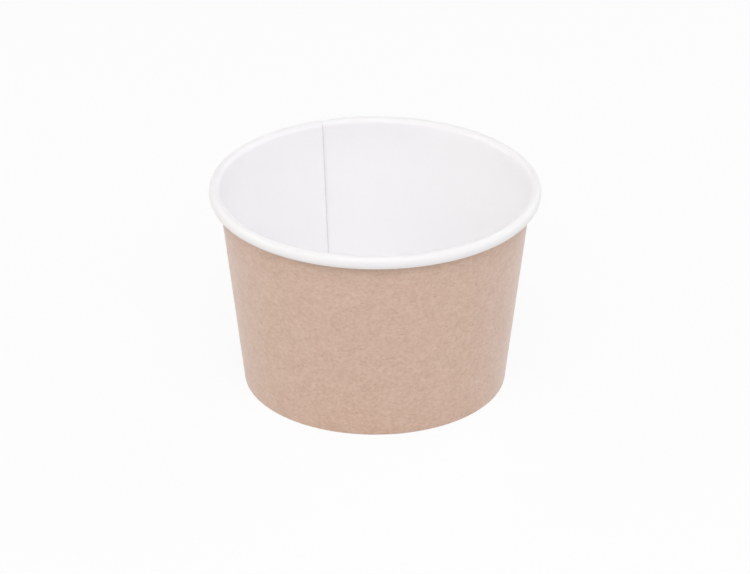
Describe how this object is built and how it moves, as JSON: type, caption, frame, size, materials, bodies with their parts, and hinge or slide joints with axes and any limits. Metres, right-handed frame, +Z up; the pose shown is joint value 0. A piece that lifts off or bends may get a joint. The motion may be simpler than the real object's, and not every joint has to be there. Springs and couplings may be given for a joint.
{
  "type": "paper soup bowl",
  "caption": "Round tapered takeaway bowl of kraft board, white inside, with a lapped side seam, an outward rolled rim for a lid and a raised base sealed into a folded foot.",
  "frame": {"origin": "centre of the foot, on the surface that the bowl stands on", "axes": "+Z up along the bowl's axis, towards the rim; the picture is seen from -Y, with +X to the right and the seam at the back, left of +Y"},
  "size_m": [0.098, 0.098, 0.0625],
  "materials": {
    "wall_board": "matt uncoated kraft outside, coated satin white inside and on the rolled rim",
    "base_board": "coated satin white above, matt kraft below"
  },
  "bodies": {
    "root": {"side_wall": "wall_board", "base_disc": "base_board"}
  },
  "joints": []
}
